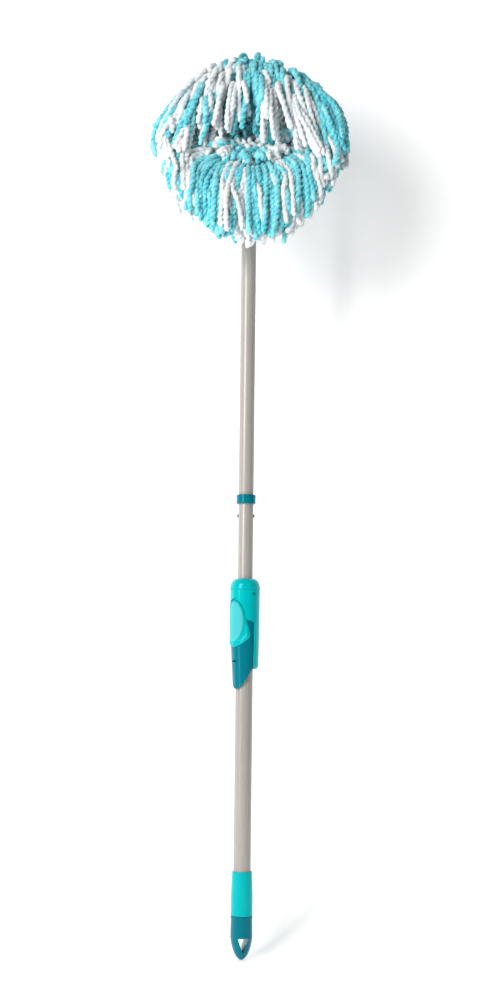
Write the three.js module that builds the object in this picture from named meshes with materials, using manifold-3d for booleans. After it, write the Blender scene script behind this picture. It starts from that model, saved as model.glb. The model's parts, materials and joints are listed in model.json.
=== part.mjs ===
// A push-to-spin mop, standing with its head up. Millimetres, +Z up, origin at the tip of the grip cap.
import * as THREE from 'three';
import { mergeVertices } from 'three/addons/utils/BufferGeometryUtils.js';
import Module from 'manifold-3d';

const wasm = await Module();
wasm.setup();

// Driving dimensions
const GAP = 0.3;
const WALL = 0.9;
const OUTER_R = 12.5;
const INNER_R = 10.8;
const GRIP_R = 16;
const GRIP_TOP_R = 14.5;
const CAP_TIP_Z = 35;
const CAP_TOP_Z = 63.7;
const CAP_BORE_Z = 42;
const GRIP_TOP_Z = 127.5;
const SLOT_YAW = 12;
const OUTER_TUBE_TOP_Z = 520;
const LOCK_YAW = -46;
const SHELL_R = 21.4;
const SHELL_WALL = 1.8;
const LOWER_SHELL_Z = 389;
const TONGUE_Z = 417;
const UPPER_SHELL_Z = 485;
const DOME_Z = 531;
const DOME_TOP_Z = 547;
const LEVER_PIN_Z = 509;
const LEVER_PIN_Y = -15.9;
const LEVER_TOP_Z = 515.5;
const ARCH_TOP_Z = 518;
const SHOE_Z = 482;
const TWIST_PITCH = 100;
const BAR_WIDTH = 9;
const BAR_THICK = 2.5;
const BAR_FOOT_Z = 52;
const BAR_TOP_Z = 492;
const CARRIAGE_Z = 244;
const INNER_TUBE_FOOT_Z = 262;
const BUTTON_Z = 637;
const BUTTON_R = 2.5;
const RING_Z = 654;
const RING_TOP_Z = 667;
const HEAD_TUBE_TOP_Z = 1095;
const PIVOT_Z = 1133;
const HEAD_TILT = 52;
const DISC_R = 78;
const DISC_Z = 26;
const BAND_Z = 32.6;
const YARN_Z = 37;
const ROOT_R = 62;

// One material for each finish
const finish = (color, roughness, metalness = 0) => (
  new THREE.MeshStandardMaterial({ color, roughness, metalness })
);
const mint = finish(0x0ac8cc, 0.35);
const paleMint = finish(0x5fdfe3, 0.5);
const teal = finish(0x08859a, 0.35);
const coatedTube = finish(0xb9b4ab, 0.4, 0.3);
const steel = finish(0x9a9da0, 0.3, 0.9);
const darkPlastic = finish(0x2b3238, 0.5);
const whitePlastic = finish(0xe4e6e4, 0.5);
const yarn = finish(0x6fd0da, 0.95);
const textile = finish(0xdfe6e6, 0.95);

const rad = THREE.MathUtils.degToRad;
const model = new THREE.Group();
const lock = new THREE.Group();
lock.rotation.z = rad(LOCK_YAW);
const head = new THREE.Group();
head.position.z = PIVOT_Z;
head.rotation.x = rad(HEAD_TILT);
model.add(lock, head);

// A closed body with merged corners, no flat triangles and its faces pointing out
function closed(geometry) {
  const bare = geometry.index ? geometry.toNonIndexed() : geometry.clone();
  bare.deleteAttribute('normal');
  bare.deleteAttribute('uv');
  const merged = mergeVertices(bare, 1e-4);
  const corner = merged.attributes.position;
  const faces = [];
  let volume = 0;
  const [a, b, c] = [new THREE.Vector3(), new THREE.Vector3(), new THREE.Vector3()];
  for (let i = 0; i < merged.index.count; i += 3) {
    const face = [0, 1, 2].map((k) => merged.index.getX(i + k));
    if (new Set(face).size < 3) continue;
    [a, b, c].forEach((point, k) => point.fromBufferAttribute(corner, face[k]));
    volume += a.dot(b.clone().cross(c));
    faces.push(face);
  }
  if (volume < 0) faces.forEach((face) => face.reverse());
  merged.setIndex(faces.flat());
  return merged;
}

function solid(geometry) {
  const body = closed(geometry);
  const vertProperties = body.attributes.position.array;
  const triVerts = Uint32Array.from(body.index.array);
  return new wasm.Manifold(new wasm.Mesh({ numProp: 3, vertProperties, triVerts }));
}

function shapeOf(manifold) {
  const mesh = manifold.getMesh();
  const geometry = new THREE.BufferGeometry();
  geometry.setAttribute('position', new THREE.BufferAttribute(mesh.vertProperties, 3));
  geometry.setIndex(new THREE.BufferAttribute(mesh.triVerts, 1));
  return geometry;
}

function add(name, shape, material, group = model) {
  const geometry = shape.isBufferGeometry ? closed(shape) : shapeOf(shape);
  geometry.computeVertexNormals();
  const mesh = new THREE.Mesh(geometry, material.clone());
  mesh.name = name;
  group.add(mesh);
  return mesh;
}

// Basic shapes, each returned as a geometry in place
function turned(profile, sides = 28) {
  const points = profile.map(([r, z]) => new THREE.Vector2(r, z));
  return new THREE.LatheGeometry(points, sides).rotateX(Math.PI / 2);
}

function pipe(outer, inner, low, high, sides) {
  return turned([[inner, low], [outer, low], [outer, high], [inner, high], [inner, low]], sides);
}

function box(width, depth, height, x, y, z) {
  return new THREE.BoxGeometry(width, depth, height).translate(x, y, z);
}

// A rod from the centre given, along the axis named
function rod(radius, length, axis, x, y, z, sides = 20) {
  const shape = new THREE.CylinderGeometry(radius, radius, length, sides);
  if (axis === 'x') shape.rotateZ(Math.PI / 2);
  if (axis === 'z') shape.rotateX(Math.PI / 2);
  return shape.translate(x, y, z);
}

// An outline in X and Z, pushed through from low to high along Y
function through(outline, low, high, steps = 12) {
  const options = { depth: high - low, bevelEnabled: false, curveSegments: steps };
  const shape = new THREE.ExtrudeGeometry(outline, options);
  return shape.rotateX(Math.PI / 2).translate(0, high, 0);
}

function join(...shapes) {
  return shapes.map(solid).reduce((whole, piece) => whole.add(piece));
}

function cut(whole, ...tools) {
  return tools.reduce((rest, tool) => rest.subtract(solid(tool)), whole);
}

// Grip
function capRadius(z) {
  const fall = Math.max(0, (CAP_TIP_Z - z) / CAP_TIP_Z);
  return GRIP_R * Math.sqrt(1 - fall ** 1.6);
}

function gripCap() {
  const steps = 8;
  const profile = [[0, 0]];
  for (let i = 1; i <= steps; i += 1) {
    const z = CAP_TIP_Z * (1 - Math.cos((i / steps) * Math.PI / 2));
    profile.push([capRadius(z), z]);
  }
  profile.push([GRIP_R, CAP_TOP_Z - 0.5], [GRIP_R - 0.5, CAP_TOP_Z], [OUTER_R + GAP, CAP_TOP_Z]);
  profile.push([OUTER_R + GAP, CAP_BORE_Z], [0, CAP_BORE_Z]);
  const slot = new THREE.Shape();
  slot.moveTo(-5.6, 32.8);
  slot.lineTo(5.6, 32.8);
  slot.quadraticCurveTo(8, 32.8, 7.3, 30.2);
  slot.lineTo(1.6, 14);
  slot.quadraticCurveTo(0, 10.8, -1.6, 14);
  slot.lineTo(-7.3, 30.2);
  slot.quadraticCurveTo(-8, 32.8, -5.6, 32.8);
  const opening = through(slot, -30, 30, 4).rotateZ(rad(SLOT_YAW));
  add('grip_cap', cut(solid(turned(profile)), opening), teal);
}

function gripSleeve() {
  const low = CAP_TOP_Z + GAP;
  const profile = [
    [OUTER_R + GAP, low], [GRIP_R - 0.4, low], [GRIP_R, low + 0.6], [GRIP_R - 0.25, low + 30],
    [GRIP_TOP_R + 0.1, GRIP_TOP_Z - 0.8], [GRIP_TOP_R - 0.7, GRIP_TOP_Z], [OUTER_R + GAP, GRIP_TOP_Z],
    [OUTER_R + GAP, low],
  ];
  add('grip_sleeve', turned(profile), mint);
}

// The bar's section turns steadily with height; the nut and the stop use the same turn with some room
function twistedBar(low, high, width, thick) {
  const steps = Math.ceil((high - low) / (TWIST_PITCH / 24));
  const shape = new THREE.BoxGeometry(width, thick, high - low, 1, 1, steps);
  shape.translate(0, 0, (low + high) / 2);
  const corner = shape.attributes.position;
  for (let i = 0; i < corner.count; i += 1) {
    const turn = (corner.getZ(i) / TWIST_PITCH) * 2 * Math.PI;
    const [x, y] = [corner.getX(i), corner.getY(i)];
    corner.setXY(i, x * Math.cos(turn) - y * Math.sin(turn), x * Math.sin(turn) + y * Math.cos(turn));
  }
  return shape;
}

function barSlot(low, high) {
  return twistedBar(low, high, BAR_WIDTH + 1.2, BAR_THICK + 1.2);
}

function spindle() {
  const bore = OUTER_R - WALL;
  const pinZ = 62;
  const stopZ = BAR_TOP_Z - 6;
  const bar = solid(twistedBar(BAR_FOOT_Z, BAR_TOP_Z, BAR_WIDTH, BAR_THICK));
  add('spindle', cut(bar, rod(1.8, 20, 'y', 0, 0, pinZ), rod(1.05, 20, 'y', 0, 0, stopZ)), steel);
  const plug = solid(rod(bore - GAP, 32, 'z', 0, 0, 61, 24));
  add('grip_plug', cut(plug, barSlot(40, 90), rod(1.8, 40, 'y', 0, 0, pinZ)), darkPlastic);
  add('spindle_pin', rod(1.5, 21, 'y', 0, 0, pinZ, 12), steel);
  const stop = solid(rod(8.8, 8, 'z', 0, 0, stopZ, 24));
  add('spindle_stop', cut(stop, barSlot(460, 500), rod(1.05, 40, 'y', 0, 0, stopZ)), darkPlastic);
  add('stop_pin', rod(0.75, 16, 'y', 0, 0, stopZ, 10), steel);
}

// Tubes
function outerTube() {
  const tube = solid(pipe(OUTER_R, OUTER_R - WALL, CAP_BORE_Z + GAP, OUTER_TUBE_TOP_Z, 28));
  const port = rod(3.7, 12, 'y', 0, -12, SHOE_Z).rotateZ(rad(LOCK_YAW));
  add('outer_tube', cut(tube, port), coatedTube);
}

function innerTube() {
  const tube = solid(pipe(INNER_R, INNER_R - WALL, INNER_TUBE_FOOT_Z, 660.6, 28));
  add('inner_tube', cut(tube, rod(BUTTON_R + GAP, 30, 'x', 0, 0, BUTTON_Z)), coatedTube);
}

function headTube() {
  const neckR = INNER_R - WALL - GAP;
  const profile = [
    [neckR - 0.9, 612], [neckR, 612], [neckR, 660.6], [INNER_R, 661.4], [INNER_R, HEAD_TUBE_TOP_Z],
    [INNER_R - WALL, HEAD_TUBE_TOP_Z], [INNER_R - WALL, 663], [neckR - 0.9, 661], [neckR - 0.9, 612],
  ];
  const buttonHole = rod(BUTTON_R + GAP, 30, 'x', 0, 0, BUTTON_Z);
  add('head_tube', cut(solid(turned(profile, 40)), buttonHole), coatedTube);
}

function collarRing() {
  const [inner, outer] = [INNER_R + GAP, 14];
  const profile = [
    [inner, RING_Z], [outer - 0.6, RING_Z], [outer, RING_Z + 0.6], [outer, RING_TOP_Z - 0.6],
    [outer - 0.6, RING_TOP_Z], [inner, RING_TOP_Z], [inner, RING_Z],
  ];
  add('collar_ring', turned(profile), teal);
}

// The tube joint: a bent leaf spring with a button on each end
function snapJoint() {
  const leaf = new THREE.Shape();
  leaf.moveTo(-5.6, 642);
  leaf.lineTo(-5.6, 630);
  leaf.lineTo(-3, 619.5);
  leaf.quadraticCurveTo(0, 616, 3, 619.5);
  leaf.lineTo(5.6, 630);
  leaf.lineTo(5.6, 642);
  leaf.lineTo(5, 642);
  leaf.lineTo(5, 630.2);
  leaf.lineTo(2.5, 620.2);
  leaf.quadraticCurveTo(0, 617, -2.5, 620.2);
  leaf.lineTo(-5, 630.2);
  leaf.lineTo(-5, 642);
  add('snap_clip', cut(solid(through(leaf, -3, 3, 5)), rod(1.6, 30, 'x', 0, 0, BUTTON_Z)), steel);
  for (const [name, side] of [['snap_button_left', -1], ['snap_button_right', 1]]) {
    const profile = [
      [0, 4.2], [1.2, 4.2], [1.2, 8], [BUTTON_R, 8], [BUTTON_R, 11.4], [BUTTON_R - 0.35, 12.2],
      [BUTTON_R - 1.1, 12.7], [0, 12.9],
    ];
    const turn = rad(90) * side;
    add(name, turned(profile, 16).rotateY(turn).translate(0, 0, BUTTON_Z), steel);
  }
}

// Push-to-spin drive inside the tubes
function drive() {
  const bore = OUTER_R - WALL;
  const inner = INNER_R - WALL;
  const bush = pipe(bore - 0.25, 6.2, CARRIAGE_Z, INNER_TUBE_FOOT_Z - GAP, 24);
  add('glide_bush', bush, whitePlastic);
  const teeth = [];
  const sockets = [];
  const count = 8;
  for (let i = 0; i < count; i += 1) {
    const turn = (i / count) * 2 * Math.PI;
    teeth.push(box(1.6, 2.2, 6, 7.3, 0, 271).rotateZ(turn));
    sockets.push(box(2.4, 2.9, 8, 7.4, 0, 271).rotateZ(turn));
  }
  const nut = join(rod(7, 12, 'z', 0, 0, 270, 24), ...teeth);
  add('driver_nut', cut(nut, barSlot(255, 285)), whitePlastic);
  const ring = solid(pipe(inner - GAP, 7.35, 264, 278, 24));
  add('clutch_ring', cut(ring, ...sockets), darkPlastic);
}

function neckBush() {
  const profile = [
    [INNER_R + 0.25, OUTER_TUBE_TOP_Z + GAP], [INNER_R + 0.25, DOME_Z - GAP], [18.9, DOME_Z - GAP],
    [18.9, OUTER_TUBE_TOP_Z + GAP], [14, OUTER_TUBE_TOP_Z + GAP], [14, 513], [OUTER_R + GAP, 513],
    [OUTER_R + GAP, OUTER_TUBE_TOP_Z + GAP], [INNER_R + 0.25, OUTER_TUBE_TOP_Z + GAP],
  ];
  const pilots = [84, -84].map((yaw) => rod(1.3, 8, 'y', 0, -17.2, 525).rotateZ(rad(yaw)));
  add('neck_bush', cut(solid(turned(profile)), ...pilots), whitePlastic, lock);
}

// Lock unit, with the lever facing -Y inside its own turned group
function domeCap() {
  const profile = [[INNER_R + 0.5, DOME_Z], [SHELL_R + 0.2, DOME_Z], [SHELL_R + 0.4, DOME_Z + 0.4]];
  const [wide, tall, steps] = [9.6, 15.2, 6];
  for (let i = 0; i <= steps; i += 1) {
    const turn = (i / steps) * Math.PI / 2;
    profile.push([SHELL_R + 0.4 - wide * (1 - Math.cos(turn)), DOME_TOP_Z - tall * (1 - Math.sin(turn))]);
  }
  profile.push([INNER_R + 0.5, DOME_TOP_Z], [INNER_R + 0.5, DOME_Z]);
  add('dome_cap', turned(profile, 32), mint, lock);
}

// The arch that the lever sits in, and the lever's own outline, grown or shrunk by room
function leverOutline(room, top) {
  const [bottom, side, arch] = [449 - room, 466, 488];
  const [low, wide, narrow] = [463 - room * 0.6, 20 + room, 16 + room];
  const outline = new THREE.Shape();
  outline.moveTo(0, bottom);
  outline.quadraticCurveTo(wide * 0.72, bottom + 1, wide, low);
  outline.lineTo(wide, side);
  outline.quadraticCurveTo(wide, arch - 12, narrow, arch);
  outline.quadraticCurveTo(narrow - 1.5, top - 2, 0, top);
  outline.quadraticCurveTo(-narrow + 1.5, top - 2, -narrow, arch);
  outline.quadraticCurveTo(-wide, arch - 12, -wide, side);
  outline.lineTo(-wide, low);
  outline.quadraticCurveTo(-wide * 0.72, bottom + 1, 0, bottom);
  return outline;
}

function padOutline(room) {
  const outline = new THREE.Shape();
  outline.absellipse(0, 485.5, 14.2 + room, 28.5 + room, 0, 2 * Math.PI);
  return outline;
}

function upperShell() {
  const inner = SHELL_R - SHELL_WALL;
  const skin = solid(turned([
    [inner, UPPER_SHELL_Z - 1], [SHELL_R, UPPER_SHELL_Z - 1], [SHELL_R, DOME_Z - GAP], [inner, DOME_Z - GAP],
    [inner, UPPER_SHELL_Z - 1],
  ], 48));
  const arch = through(leverOutline(0.5, ARCH_TOP_Z), -40, 0, 10);
  const band = cut(skin, arch, box(60, 15, 8, 0, -18.5, 484.5));
  const tongueSkin = solid(turned([
    [inner - 1, TONGUE_Z], [SHELL_R - 1, TONGUE_Z], [SHELL_R, UPPER_SHELL_Z + 1], [inner, UPPER_SHELL_Z + 1],
    [inner - 1, TONGUE_Z],
  ], 48));
  const side = new THREE.Shape();
  side.moveTo(-0.5, UPPER_SHELL_Z + 2);
  side.lineTo(-0.5, TONGUE_Z + 6);
  side.quadraticCurveTo(-0.5, TONGUE_Z - 1, 7.6, TONGUE_Z - 1);
  side.lineTo(40, TONGUE_Z - 1);
  side.lineTo(40, UPPER_SHELL_Z + 2);
  const keep = solid(through(side, -40, 40, 6).rotateZ(Math.PI / 2));
  const tongue = tongueSkin.intersect(keep);
  const holes = [84, -84].map((yaw) => rod(1.6, 12, 'y', 0, -20, 525).rotateZ(rad(yaw)));
  const sinks = [84, -84].map((yaw) => rod(2.3, 4, 'y', 0, -22.6, 525).rotateZ(rad(yaw)));
  add('upper_shell', cut(band.add(tongue), ...holes, ...sinks), mint, lock);
}

// The lower shell's skin narrows towards the scooped end and keeps clear of the lever above
function lowerShell() {
  const wall = 1.7;
  const skin = solid(turned([
    [16.3 - wall, LOWER_SHELL_Z - 1], [16.3, LOWER_SHELL_Z - 1], [19.9, 452],
    [19.9, 484], [19.9 - wall, 484], [19.9 - wall, 452], [16.3 - wall, LOWER_SHELL_Z - 1],
  ], 48));
  const rib = solid(pipe(18.6, OUTER_R + GAP, 438, 442, 28));
  const front = new THREE.Shape();
  front.moveTo(-1.3, 483);
  front.lineTo(-1.3, 420);
  front.quadraticCurveTo(-3.5, 408, -10.5, 396);
  front.quadraticCurveTo(-14, 389.4, -15.2, LOWER_SHELL_Z);
  front.lineTo(-40, LOWER_SHELL_Z);
  front.lineTo(-40, 483);
  const keep = solid(through(front, -40, 40, 8).rotateZ(Math.PI / 2));
  const window = box(32, 20, 40, 0, -22, 484);
  const catchSlot = box(9, 10, 2.4, -2.5, -20, 428.5);
  add('lower_shell', cut(skin.add(rib).intersect(keep), window, catchSlot), teal, lock);
}

function leverPlate() {
  const [inner, outer] = [20.3, 21.7];
  const profile = [[inner, 440], [outer + 0.2, 440], [outer, 525], [inner, 525], [inner, 440]];
  const skin = solid(turned(profile, 72));
  const plate = skin.intersect(solid(through(leverOutline(0, LEVER_TOP_Z), -40, 0, 10)));
  const boss = rod(2.6, 12, 'x', 0, LEVER_PIN_Y, LEVER_PIN_Z, 20);
  const web = box(12, 5.2, 5, 0, -18.4, LEVER_PIN_Z);
  const pocket = solid(pipe(30, 21.05, 440, 525, 72)).intersect(solid(through(padOutline(GAP), -40, 0, 16)));
  const body = plate.add(solid(boss)).add(solid(web)).subtract(pocket);
  add('lock_lever', cut(body, rod(1.55, 30, 'x', 0, LEVER_PIN_Y, LEVER_PIN_Z)), mint, lock);
  const padSkin = solid(turned([[21.35, 440], [22.1, 440], [22.1, 525], [21.35, 525], [21.35, 440]], 72));
  add('lever_pad', padSkin.intersect(solid(through(padOutline(0), -40, 0, 16))), paleMint, lock);
  add('lever_pin', rod(1.25, 19, 'x', 0, LEVER_PIN_Y, LEVER_PIN_Z, 14), steel, lock);
}

function lockCore() {
  const body = solid(pipe(18, OUTER_R + GAP, 468, 500, 28));
  const ears = [-1, 1].map((side) => join(
    box(2.2, 4.4, 12, side * 7.6, LEVER_PIN_Y + 0.2, 503),
    rod(2.2, 2.2, 'x', side * 7.6, LEVER_PIN_Y, LEVER_PIN_Z, 20),
  ));
  const whole = ears.reduce((sum, ear) => sum.add(ear), body);
  const bore = rod(5.6, 20, 'y', 0, -20, SHOE_Z, 24);
  const clear = solid(pipe(OUTER_R + GAP, 0, 460, 520, 28));
  add('lock_core', cut(whole.subtract(clear), bore, rod(1.4, 40, 'x', 0, LEVER_PIN_Y, LEVER_PIN_Z, 20)),
    darkPlastic, lock);
}

function brake() {
  const stem = rod(3.3, 8, 'y', 0, -13.6, SHOE_Z, 20);
  const foot = rod(5.2, 2.4, 'y', 0, -18, SHOE_Z, 24);
  const mid = rod(3.3, 4, 'y', 0, -16, SHOE_Z, 20);
  const tube = rod(INNER_R + GAP, 30, 'z', 0, 0, SHOE_Z, 48);
  add('brake_shoe', cut(join(stem, mid, foot), tube), whitePlastic, lock);
  const turns = 3;
  const [radius, from, to] = [4.3, -13.4, -16.2];
  const points = [];
  for (let i = 0; i <= turns * 10; i += 1) {
    const turn = (i / 10) * 2 * Math.PI;
    const y = from + ((to - from) * i) / (turns * 10);
    points.push(new THREE.Vector3(radius * Math.cos(turn), y, SHOE_Z + radius * Math.sin(turn)));
  }
  const wire = new THREE.Shape();
  wire.absarc(0, 0, 0.35, 0, 2 * Math.PI);
  const extrudePath = new THREE.CatmullRomCurve3(points);
  const spring = new THREE.ExtrudeGeometry(wire, { steps: turns * 10, extrudePath, curveSegments: 3 });
  add('shoe_spring', spring, steel, lock);
}

function shellScrews() {
  for (const [name, yaw] of [['shell_screw_right', 84], ['shell_screw_left', -84]]) {
    const profile = [[0, 14.2], [1, 14.2], [1, 19.8], [1.3, 19.8], [1.3, 20.4], [0, 20.4]];
    const screw = turned(profile, 12).rotateX(Math.PI / 2).translate(0, 0, 525);
    add(name, screw.rotateZ(rad(yaw)), steel, lock);
  }
}

// Head, in its own tilted group: local +Z is the disc's axis, towards the yarn
function clevis() {
  const base = PIVOT_Z - HEAD_TUBE_TOP_Z;
  const spigot = rod(INNER_R - WALL - GAP, 24, 'z', 0, 0, HEAD_TUBE_TOP_Z - 12, 20);
  const hub = turned([[0, -0.2], [12.4, 0.3], [13.4, 2], [13.4, 14], [10, 22], [0, 22]], 24);
  hub.translate(0, 0, HEAD_TUBE_TOP_Z);
  const ears = [-1, 1].flatMap((side) => [
    box(4.6, 17, base - 8, side * 11.6, 0, HEAD_TUBE_TOP_Z + 8 + (base - 8) / 2),
    rod(8.5, 4.6, 'x', side * 11.6, 0, PIVOT_Z, 20),
  ]);
  const whole = join(spigot, hub, ...ears);
  add('head_clevis', cut(whole, rod(3.1, 60, 'x', 0, 0, PIVOT_Z)), darkPlastic);
  const ends = [-1, 1].map((side) => rod(4.2, 1.6, 'x', side * 15.1, 0, PIVOT_Z));
  add('tilt_pin', join(rod(2.8, 28.6, 'x', 0, 0, PIVOT_Z), ...ends), steel);
}

const screwSpots = [45, 135, 225, 315].map((turn) => [15 * Math.cos(rad(turn)), 15 * Math.sin(rad(turn))]);

function knuckle() {
  const barrel = rod(8, 17.8, 'x', 0, 0, 0, 20);
  const neck = box(17.8, 14, DISC_Z - 3, 0, 0, (DISC_Z - 3) / 2);
  const flange = rod(20, 3.4, 'z', 0, 0, DISC_Z - GAP - 1.7, 28);
  const holes = screwSpots.map(([x, y]) => rod(1.7, 20, 'z', x, y, DISC_Z, 10));
  const pinHole = rod(3.1, 60, 'x', 0, 0, 0);
  add('disc_knuckle', cut(join(barrel, neck, flange), pinHole, ...holes), darkPlastic, head);
  screwSpots.forEach(([x, y], i) => {
    const profile = [[0, -5.4], [2.8, -5.4], [2.8, -4], [1.4, -4], [1.4, 2.4], [0, 2.4]];
    add(`disc_screw_${i + 1}`, turned(profile, 10).translate(x, y, DISC_Z), steel, head);
  });
}

function disc() {
  const face = DISC_Z + 3;
  const profile = [
    [0, DISC_Z], [DISC_R - 2, DISC_Z], [DISC_R, DISC_Z - 4], [DISC_R + 0.01, DISC_Z + 1], [DISC_R - 1.5, face],
    [36, face], [34, face + 1.5], [31, face + 1.5], [29, face], [0, face],
  ];
  const pilots = screwSpots.map(([x, y]) => rod(1.7, 20, 'z', x, y, DISC_Z, 10));
  const drains = [];
  for (let i = 0; i < 8; i += 1) drains.push(rod(5, 20, 'z', 52, 0, DISC_Z, 10).rotateZ(rad(22.5 + 45 * i)));
  add('disc_plate', cut(solid(turned(profile, 36)), ...pilots, ...drains), teal, head);
}

function refill() {
  const low = DISC_Z + 3 + GAP;
  add('ring_frame', turned([[40, low], [70, low], [70, BAND_Z - GAP], [40, BAND_Z - GAP], [40, low]], 32),
    whitePlastic, head);
  add('textile_band', pipe(74, 26, BAND_Z, YARN_Z - GAP, 32), textile, head);
}

// Short tufts around the open middle of the refill
function tufts() {
  const profile = [];
  for (let i = 0; i <= 10; i += 1) {
    const turn = (i / 10) * 2 * Math.PI;
    profile.push([35 - 18 * Math.cos(turn), YARN_Z + 8.5 + 8.5 * Math.sin(turn)]);
  }
  add('yarn_tufts', turned(profile, 24), yarn, head);
}

// The long yarn as one thick sheet around the disc: it leaves the band outwards and gives way to gravity
function strandPath(turn) {
  const out = new THREE.Vector3(Math.sin(turn), -Math.cos(turn), 0);
  const down = new THREE.Vector3(0, 0, -1).applyAxisAngle(new THREE.Vector3(1, 0, 0), rad(-HEAD_TILT));
  const front = new THREE.Vector3(0, 0, 1);
  const high = (1 - Math.cos(turn)) / 2;
  const root = out.clone().multiplyScalar(ROOT_R).setZ(YARN_Z + 12);
  const at = (o, f, d) => (
    root.clone().addScaledVector(out, o).addScaledVector(front, f).addScaledVector(down, d)
  );
  const knee = at(48 + 54 * high, 6 + 12 * high, 0);
  const turnOver = at(42 + 62 * high, 10 + 50 * high, 45 - 40 * high);
  const tip = at(26 + 36 * high, 12 + 34 * high, 104 - 40 * high);
  return new THREE.CubicBezierCurve3(root, knee, turnOver, tip);
}

function yarnSkirt() {
  const [around, along, thick] = [36, 10, 16];
  const positions = [];
  const index = [];
  const loop = 2 * (along + 1);
  for (let i = 0; i < around; i += 1) {
    const turn = (i / around) * 2 * Math.PI;
    const path = strandPath(turn);
    const side = new THREE.Vector3(Math.cos(turn), Math.sin(turn), 0);
    const spots = path.getPoints(along);
    const offsets = spots.map((spot, k) => (
      side.clone().cross(path.getTangent(k / along)).setLength(thick / 2)
    ));
    const face = spots.map((spot, k) => spot.clone().sub(offsets[k]));
    const back = spots.map((spot, k) => spot.clone().add(offsets[k])).reverse();
    for (const point of [...face, ...back]) positions.push(point.x, point.y, point.z);
    const next = (i + 1) % around;
    for (let k = 0; k < loop; k += 1) {
      const [a, b] = [i * loop + k, i * loop + ((k + 1) % loop)];
      const [c, d] = [next * loop + k, next * loop + ((k + 1) % loop)];
      index.push(a, b, d, a, d, c);
    }
  }
  const geometry = new THREE.BufferGeometry();
  geometry.setAttribute('position', new THREE.Float32BufferAttribute(positions, 3));
  geometry.setIndex(index);
  add('yarn_skirt', geometry, yarn, head);
}

gripCap();
gripSleeve();
spindle();
outerTube();
innerTube();
headTube();
collarRing();
snapJoint();
drive();
neckBush();
domeCap();
upperShell();
lowerShell();
leverPlate();
lockCore();
brake();
shellScrews();
clevis();
knuckle();
disc();
refill();
tufts();
yarnSkirt();

export default model;
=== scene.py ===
"""Spin mop, standing head up: fine meshes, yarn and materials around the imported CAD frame."""
import json
import math

import bmesh
import bpy
import numpy as np
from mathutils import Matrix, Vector


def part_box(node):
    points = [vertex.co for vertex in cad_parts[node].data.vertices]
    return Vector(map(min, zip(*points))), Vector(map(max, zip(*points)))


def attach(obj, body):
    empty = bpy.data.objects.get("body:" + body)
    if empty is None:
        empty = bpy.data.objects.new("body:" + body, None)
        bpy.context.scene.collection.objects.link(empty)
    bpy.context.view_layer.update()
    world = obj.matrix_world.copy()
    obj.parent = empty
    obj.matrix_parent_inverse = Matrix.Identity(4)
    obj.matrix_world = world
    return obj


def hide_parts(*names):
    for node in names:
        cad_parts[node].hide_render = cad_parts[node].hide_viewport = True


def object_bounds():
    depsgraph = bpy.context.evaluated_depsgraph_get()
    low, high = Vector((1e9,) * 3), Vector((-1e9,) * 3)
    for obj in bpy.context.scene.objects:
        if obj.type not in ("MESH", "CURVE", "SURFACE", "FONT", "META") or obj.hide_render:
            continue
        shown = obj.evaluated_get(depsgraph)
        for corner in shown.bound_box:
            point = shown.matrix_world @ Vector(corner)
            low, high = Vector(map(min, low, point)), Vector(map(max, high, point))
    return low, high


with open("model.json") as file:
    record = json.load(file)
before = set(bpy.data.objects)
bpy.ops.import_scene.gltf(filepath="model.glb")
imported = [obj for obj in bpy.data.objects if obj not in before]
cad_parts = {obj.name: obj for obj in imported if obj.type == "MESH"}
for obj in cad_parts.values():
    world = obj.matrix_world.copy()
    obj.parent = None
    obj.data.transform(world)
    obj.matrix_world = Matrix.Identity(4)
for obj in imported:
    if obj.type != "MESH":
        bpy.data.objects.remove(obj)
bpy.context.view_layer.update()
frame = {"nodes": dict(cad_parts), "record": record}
MM = 0.001
record = frame["record"]
joints = {joint["name"]: joint for joint in record["behaviour"]["joints"]}


# ---------------------------------------------------------------- camera, light and stage
def add_camera():
    data = bpy.data.cameras.new("camera")
    data.lens = 50
    data.sensor_width = 36
    data.shift_y = 0.1544
    camera = bpy.data.objects.new("camera", data)
    camera.location = (0.008, -1.98, 0.445)
    camera.rotation_euler = (math.radians(90), math.radians(-0.62), 0)
    bpy.context.collection.objects.link(camera)
    bpy.context.scene.camera = camera


def add_light(name, place, aim, size, power, color=(1, 1, 1)):
    data = bpy.data.lights.new(name, "AREA")
    data.shape = "RECTANGLE"
    data.size, data.size_y = size
    data.energy = power
    data.color = color
    light = bpy.data.objects.new(name, data)
    light.location = place
    light.rotation_euler = (Vector(aim) - Vector(place)).to_track_quat("-Z", "Y").to_euler()
    bpy.context.collection.objects.link(light)


def add_studio():
    world = bpy.data.worlds.new("studio")
    world.use_nodes = True
    fill = world.node_tree.nodes["Background"]
    fill.inputs["Color"].default_value = (1, 1, 1, 1)
    seen = world.node_tree.nodes.new("ShaderNodeLightPath").outputs["Is Camera Ray"]
    strength = world.node_tree.nodes.new("ShaderNodeMapRange")
    strength.inputs["To Min"].default_value, strength.inputs["To Max"].default_value = 0.2, 0.95
    world.node_tree.links.new(seen, strength.inputs["Value"])
    world.node_tree.links.new(strength.outputs["Result"], fill.inputs["Strength"])
    bpy.context.scene.world = world
    bpy.context.scene.view_settings.view_transform = "Standard"
    add_light("key", (-1.15, -1.65, 1.35), (0, 0, 0.85), (0.7, 1.1), 29)
    add_light("strip", (-1.2, -1.15, 0.6), (0, 0, 0.55), (0.1, 1.9), 10)


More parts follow.
